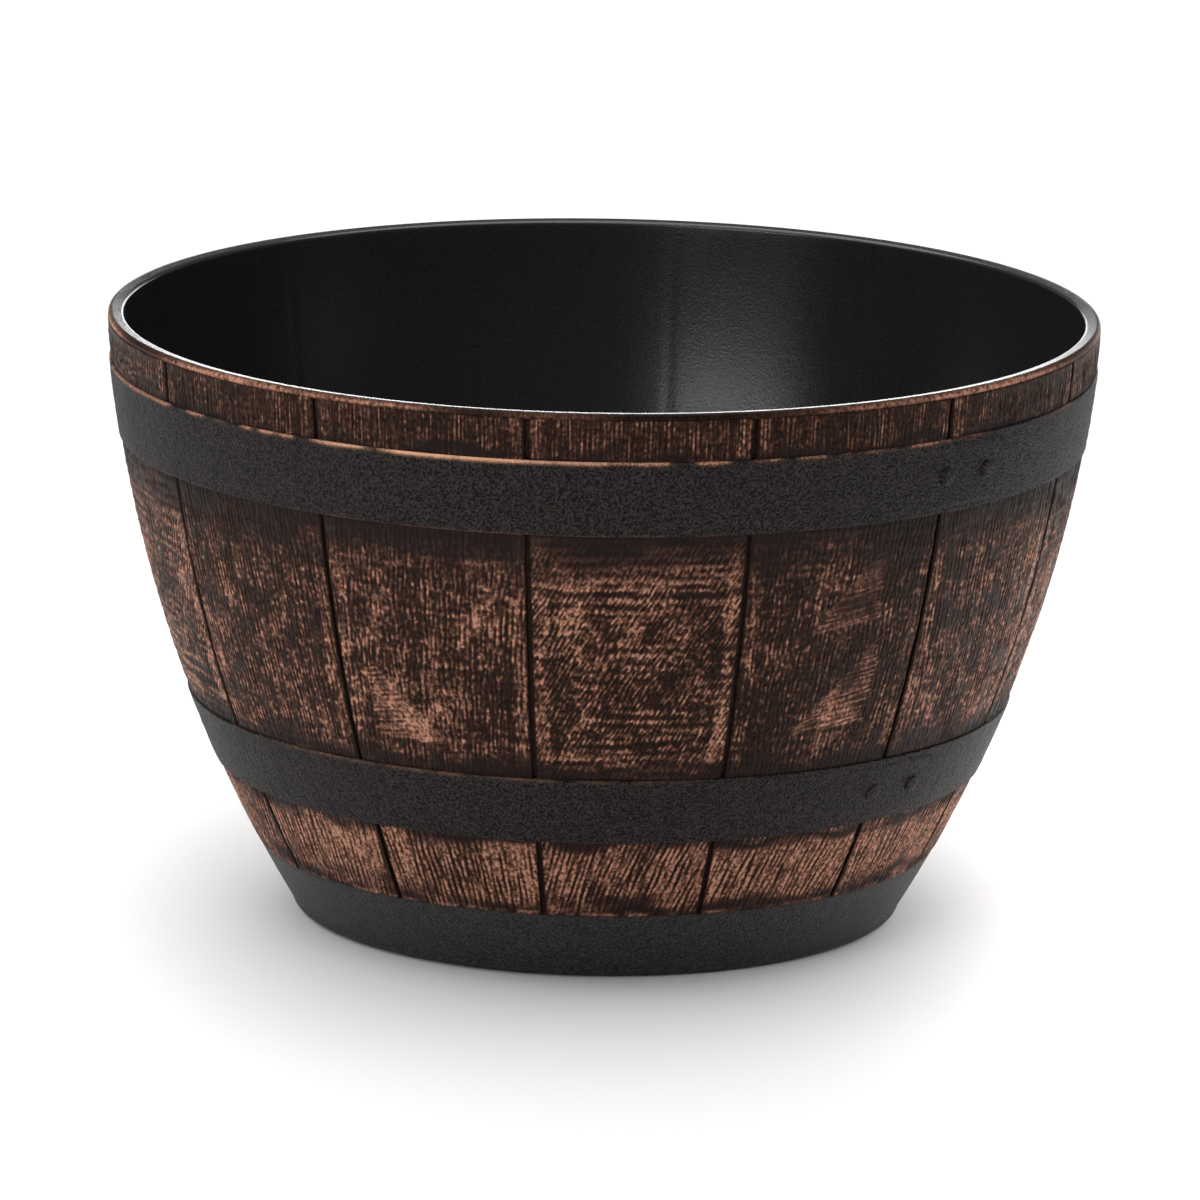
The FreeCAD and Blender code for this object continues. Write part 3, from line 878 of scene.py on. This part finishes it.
def make_stave(number, finish):
    """One board of the relief: a grained face with rounded edges and a plain back sunk in the wall."""
    rng = np.random.default_rng(STAVE_SEED + number)
    style = STYLES[STYLE_ORDER[number]]
    height = np.linspace(BOARD_BOTTOM, BOARD_TOP, BOARD_ROWS)[:, None]
    share = np.linspace(-1, 1, BOARD_COLUMNS)[None, :]
    radius = outside(height)
    half = STAVE_PITCH / 2 - JOINT_WIDTH / 2 / radius
    middle = FIRST_STAVE_TURN + number * STAVE_PITCH
    across, edge = share * half * radius, (1 - np.abs(share)) * half * radius
    width = STAVE_PITCH * outside((BOARD_BOTTOM + BOARD_TOP) / 2)
    relief, paint, soot = stave_surface(rng, style, height, across, edge, width)
    ends = ramp(height - BOARD_BOTTOM, 0, RELIEF_START) * ramp(BOARD_TOP - height, 0, RELIEF_END)
    near = np.clip(1 - edge / BOARD_ROUND, 0, 1)
    round_off = (1 - np.sqrt(1 - near**2)) * BOARD_ROUND_DEPTH
    face = on_wall(height, middle + share * half, relief * ends - round_off + hoop_dip(height))
    back_share = np.linspace(1, -1, BACK_COLUMNS)[None, :]
    back = on_wall(height, middle + back_share * half, BOARD_BACK)
    points = np.concatenate([face, back], axis=1)
    plain = np.zeros((BOARD_ROWS, BACK_COLUMNS))
    painted, sooted = (np.concatenate([field, plain], axis=1) for field in (paint, soot))
    face_marks = np.linspace(0, MAP_FACE_END, BOARD_COLUMNS)
    map_marks = np.concatenate([face_marks, np.linspace(MAP_BACK_START, 1, BACK_COLUMNS + 1)])
    fields = {"paint": painted, "soot": sooted}
    stave = woven(f"stave_{number + 1:02d}", points, False, fields, map_marks)
    dress(stave, finish, "planter", "painted_resin")


# Hoops

def tongue_step(along, height, low, high):
    """How far the lapped tongue stands up, by the place along the strap and across it."""
    middle, half = (low + high) / 2, (high - low) / 2 - TONGUE_MARGIN
    inner = half - TONGUE_END_ROUND
    over = np.maximum(np.abs(height - middle) - inner, 0)
    bend = TONGUE_END_ROUND - np.sqrt(np.maximum(TONGUE_END_ROUND**2 - over**2, 0))
    end = TONGUE_LENGTH / 2 - bend
    covered = ramp(end - along, 0, TONGUE_EDGE) * ramp(half - np.abs(height - middle), 0, TONGUE_EDGE)
    rise = np.clip(along / TONGUE_LENGTH + 0.5, 0, 1)
    step = TONGUE_ROOT_STEP + (TONGUE_END_STEP - TONGUE_ROOT_STEP) * rise
    return step * covered * ramp(along + TONGUE_LENGTH / 2, 0, TONGUE_EDGE)


def hoop_section(low, high):
    """Height and lift of a strap's section as a loop, up its face and down its back."""
    edge_low = corner((HOOP_FACE - HOOP_ROUND, low), (HOOP_FACE, low + HOOP_ROUND), "radius")
    edge_high = corner((HOOP_FACE, high - HOOP_ROUND), (HOOP_FACE - HOOP_ROUND, high), "height")
    face = straight((HOOP_FACE, low + HOOP_ROUND), (HOOP_FACE, high - HOOP_ROUND), HOOP_ROWS)
    back = np.linspace((HOOP_BACK, high), (HOOP_BACK, low), HOOP_BACK_ROWS + 2)
    section = np.concatenate([edge_low, face, edge_high, back])
    return section[:, 1:], section[:, :1]


def hoop_wear_and_glint(rng, name, height, turn, cell):
    """Copper on a strap's worn edges, painted brighter towards the key light, and the painted glint
    highlight on its top edge.
    """
    low, high = HOOPS[name]
    fine = noise(rng, (1, HOOP_COLUMNS), (MM, cell), (MM, WEAR_FINE_LENGTH))
    slow = noise(rng, (1, HOOP_COLUMNS), (MM, cell), (MM, WEAR_SLOW_LENGTH))
    # worn is copper wear with painted highlight: brighter towards the key light and dimmer on the far side
    facing = np.cos(turn - LIT_SIDE_TURN)
    worn = WEAR + LIT_SIDE_WEIGHT * facing + WEAR_FINE * fine + WEAR_SLOW * slow
    worn = worn * (FAR_SIDE_SHARE + (1 - FAR_SIDE_SHARE) * ramp(facing, *FAR_SIDE_FADE))
    top = fade(height - high, TOP_LINE_WIDTH)
    line = np.maximum(TOP_LINE_WEIGHT * top, LOW_LINE_WEIGHT * fade(height - low, LOW_LINE_WIDTH))
    glint = fade(turn - GLINT_TURN, GLINT_SPREAD) * np.clip(GLINT + GLINT_FINE * fine, 0, 1)
    return np.clip(line * worn * WEAR_AND_GLINT_SHARE[name], 0, 1), glint * top * WEAR_AND_GLINT_SHARE[name]


def make_hoop(name, finish, number):
    """One strap with its tongue, pebbled and swaying a little, with worn edges and a painted highlight on
    the top edge.
    """
    rng = np.random.default_rng(HOOP_SEED + number)
    low, high = HOOPS[name]
    height, lift = hoop_section(low, high)
    turn = LAP_TURN + (np.arange(HOOP_COLUMNS)[None, :] / HOOP_COLUMNS - 0.5) * FULL_TURN
    radius = outside((low + high) / 2)
    along = radius * np.sin(np.clip(turn - LAP_TURN, -QUARTER_TURN, QUARTER_TURN))
    shape = (len(height), HOOP_COLUMNS)
    cell = ((high - low) / HOOP_ROWS, FULL_TURN * radius / HOOP_COLUMNS)
    pebble = noise(rng, shape, cell, PEBBLE_SPREAD) * PEBBLE_RELIEF
    sway = noise(rng, shape, cell, SWAY_SPREAD) * SWAY_RELIEF
    step = tongue_step(along, height, low, high)
    on_face = lift > HOOP_FACE - HOOP_ROUND / 2
    points = on_wall(height, turn, lift + on_face * (pebble + sway + step))
    paint, painted_glint = hoop_wear_and_glint(rng, name, height, turn, cell[1])
    fields = {"paint": paint * (lift > 0), "painted_glint": painted_glint * (lift > 0)}
    hoop = woven(f"{name}_strap", points, True, fields)
    dress(hoop, finish, "planter", "black_resin", name)


def make_rivet(hoop, place, finish):
    """A domed head on the tongue, square to the strap."""
    low, high = HOOPS[hoop]
    height = (low + high) / 2
    along = TONGUE_LENGTH / 2 - RIVET_END_DISTANCE - place * RIVET_SPACING
    turn = LAP_TURN + math.asin(along / outside(height))
    seat = HOOP_FACE + float(tongue_step(along, height, low, high))
    dome = corner((RIVET_RADIUS, RIVET_SIDE), (RIVET_CROWN, RIVET_HEIGHT), "height")
    profile = np.concatenate([[[RIVET_RADIUS, -HOOP_FACE], [RIVET_RADIUS, 0.0]], dome])
    foot, head = on_wall(height, turn, np.array([seat, seat + RIVET_HEIGHT]))
    out = Vector(head - foot).normalized()
    square = np.array(out.to_track_quat("Z", "Y").to_matrix())
    rows = turned(profile, SMALL_COLUMNS) @ square.T + foot
    rivet = woven(f"{hoop}_rivet_{place + 1}", rows, False, {})
    dress(rivet, finish, "planter", "black_resin", "hoop_rivets")


# Drain plug

def disc_profile(radius, low, high, round_off):
    """The outer side of a disc with rounded edges, from its underside to its top."""
    return [
        corner((radius - round_off, low), (radius, low + round_off), "radius"),
        corner((radius, high - round_off), (radius - round_off, high), "height"),
    ]


def end_rings(radius, shares, height):
    """Profile points on a flat end, at shares of its radius."""
    return np.array([[share * radius, height] for share in shares])


def make_plug(finish):
    """The plug: a stem in the drain, a flange on the floor and a grip on a neck."""
    grip_low = PLUG_TOP - PLUG_GRIP_HEIGHT
    flange_top = FLOOR_TOP + PLUG_FLANGE_THICKNESS
    stem_foot = (PLUG_STEM_RADIUS - PLUG_ROUND, PLUG_BOTTOM)
    stem_side = (PLUG_STEM_RADIUS, PLUG_BOTTOM + PLUG_ROUND)
    neck_foot = (PLUG_NECK_RADIUS + PLUG_NECK_ROUND, flange_top)
    neck_side = (PLUG_NECK_RADIUS, flange_top + PLUG_NECK_ROUND)
    runs = [
        end_rings(PLUG_STEM_RADIUS, PLUG_FOOT_RINGS, PLUG_BOTTOM),
        corner(stem_foot, stem_side, "radius"),
        np.array([[PLUG_STEM_RADIUS, FLOOR_TOP]]),
        *disc_profile(PLUG_FLANGE_RADIUS, FLOOR_TOP, flange_top, PLUG_ROUND),
        corner(neck_foot, neck_side, "radius"),
        np.array([[PLUG_NECK_RADIUS, grip_low]]),
        *disc_profile(PLUG_GRIP_RADIUS, grip_low, PLUG_TOP, PLUG_ROUND),
        end_rings(PLUG_GRIP_RADIUS, PLUG_HEAD_RINGS, PLUG_TOP),
    ]
    plug = woven("plug_body", turned(np.concatenate(runs), SMALL_COLUMNS), False, {})
    dress(plug, finish, "plug", "plug_rubber", "drain_plug")


# Floor, light and camera

FLOOR_HALF = 12.0
FLOOR_COLOUR = (0.9, 0.9, 0.9)
FLOOR_ROUGHNESS = 0.9
FLOOR_SPECULAR = 0.2
WORLD_COLOUR = (1, 1, 1)
WORLD_STRENGTH = 0.15
MIDDLE = (0, 0, 0.1)
Softbox = namedtuple("Softbox", "place aim wide tall power")
SOFTBOXES = {
    "overhead": Softbox((-0.35, 0.3, 3.2), MIDDLE, wide=5.0, tall=5.0, power=185),
    "key": Softbox((-1.5, -2.4, 1.1), MIDDLE, wide=2.0, tall=1.9, power=9.5),
    "window": Softbox((-1.42, -2.03, 0.84), MIDDLE, wide=1.4, tall=0.3, power=7.5),
    "floor right": Softbox((0.34, 0.1, 0.08), (0.34, 0.1, 0.0), wide=0.36, tall=0.7, power=1.2),
    "floor left": Softbox((-0.34, 0.0, 0.08), (-0.34, 0.0, 0.0), wide=0.36, tall=0.7, power=0.4),
    "back": Softbox((0.5, 3.0, 0.27), MIDDLE, wide=2.4, tall=0.5, power=23),
}
CAMERA_PLACE = Vector((0.0, -3.795, 0.984))
CAMERA_AIM = Vector((0.0, 0.0, 0.112))
CAMERA_ROLL = math.radians(0.9)
CAMERA_LENS = 324.0
CAMERA_REACH = 100
SENSOR_WIDTH = 36.0


def make_floor():
    """A wide pale floor."""
    mesh = bpy.data.meshes.new("floor")
    corners = [(x * FLOOR_HALF, y * FLOOR_HALF, 0.0) for x, y in ((-1, -1), (1, -1), (1, 1), (-1, 1))]
    mesh.from_pydata(corners, [], [(0, 1, 2, 3)])
    floor = bpy.data.objects.new("floor", mesh)
    bpy.context.scene.collection.objects.link(floor)
    material, _, shader = new_finish("pale_floor", FLOOR_SPECULAR)
    shader.inputs["Base Color"].default_value = (*FLOOR_COLOUR, 1)
    shader.inputs["Roughness"].default_value = FLOOR_ROUGHNESS
    mesh.materials.append(material)


def add_softbox(name, box):
    """A rectangular soft light that isn't seen itself."""
    light = bpy.data.lights.new(name, "AREA")
    light.shape = "RECTANGLE"
    light.size, light.size_y = box.wide, box.tall
    light.energy = box.power
    lamp = bpy.data.objects.new(name, light)
    lamp.location = box.place
    lamp.visible_camera = False
    lamp.rotation_euler = (Vector(box.aim) - Vector(box.place)).to_track_quat("-Z", "Y").to_euler()
    bpy.context.scene.collection.objects.link(lamp)


def add_light():
    """A dim white world and the soft lights."""
    world = bpy.data.worlds.new("studio")
    world.use_nodes = True
    world.node_tree.nodes["Background"].inputs["Color"].default_value = (*WORLD_COLOUR, 1)
    world.node_tree.nodes["Background"].inputs["Strength"].default_value = WORLD_STRENGTH
    bpy.context.scene.world = world
    for name, box in SOFTBOXES.items():
        add_softbox(name, box)
    bpy.context.scene.view_settings.view_transform = "Standard"


def add_camera():
    """A camera far off with a long lens, rolled a little."""
    camera = bpy.data.cameras.new("camera")
    camera.lens = CAMERA_LENS
    camera.sensor_width = SENSOR_WIDTH
    camera.clip_end = CAMERA_REACH
    holder = bpy.data.objects.new("camera", camera)
    holder.location = CAMERA_PLACE
    facing = (CAMERA_AIM - CAMERA_PLACE).to_track_quat("-Z", "Y")
    holder.rotation_euler = (facing @ Quaternion((0, 0, 1), CAMERA_ROLL)).to_euler()
    bpy.context.scene.collection.objects.link(holder)
    bpy.context.scene.camera = holder


def make_planter():
    """All the pieces of the planter."""
    wood = painted_finish("painted_resin")
    bare = painted_finish("bare_resin")
    strap = painted_finish("black_resin")
    # The foot takes the strap's black lightened as painted floor bounce light
    footing = painted_finish("lit_foot_resin")
    make_pot(bare, wood, footing)
    for number in range(STAVE_COUNT):
        make_stave(number, wood)
    for number, hoop in enumerate(HOOPS):
        make_hoop(hoop, strap, number)
        for place in range(RIVETS_PER_HOOP):
            make_rivet(hoop, place, strap)
    make_plug(rubber_finish("plug_rubber"))


make_planter()
make_floor()
add_light()
add_camera()
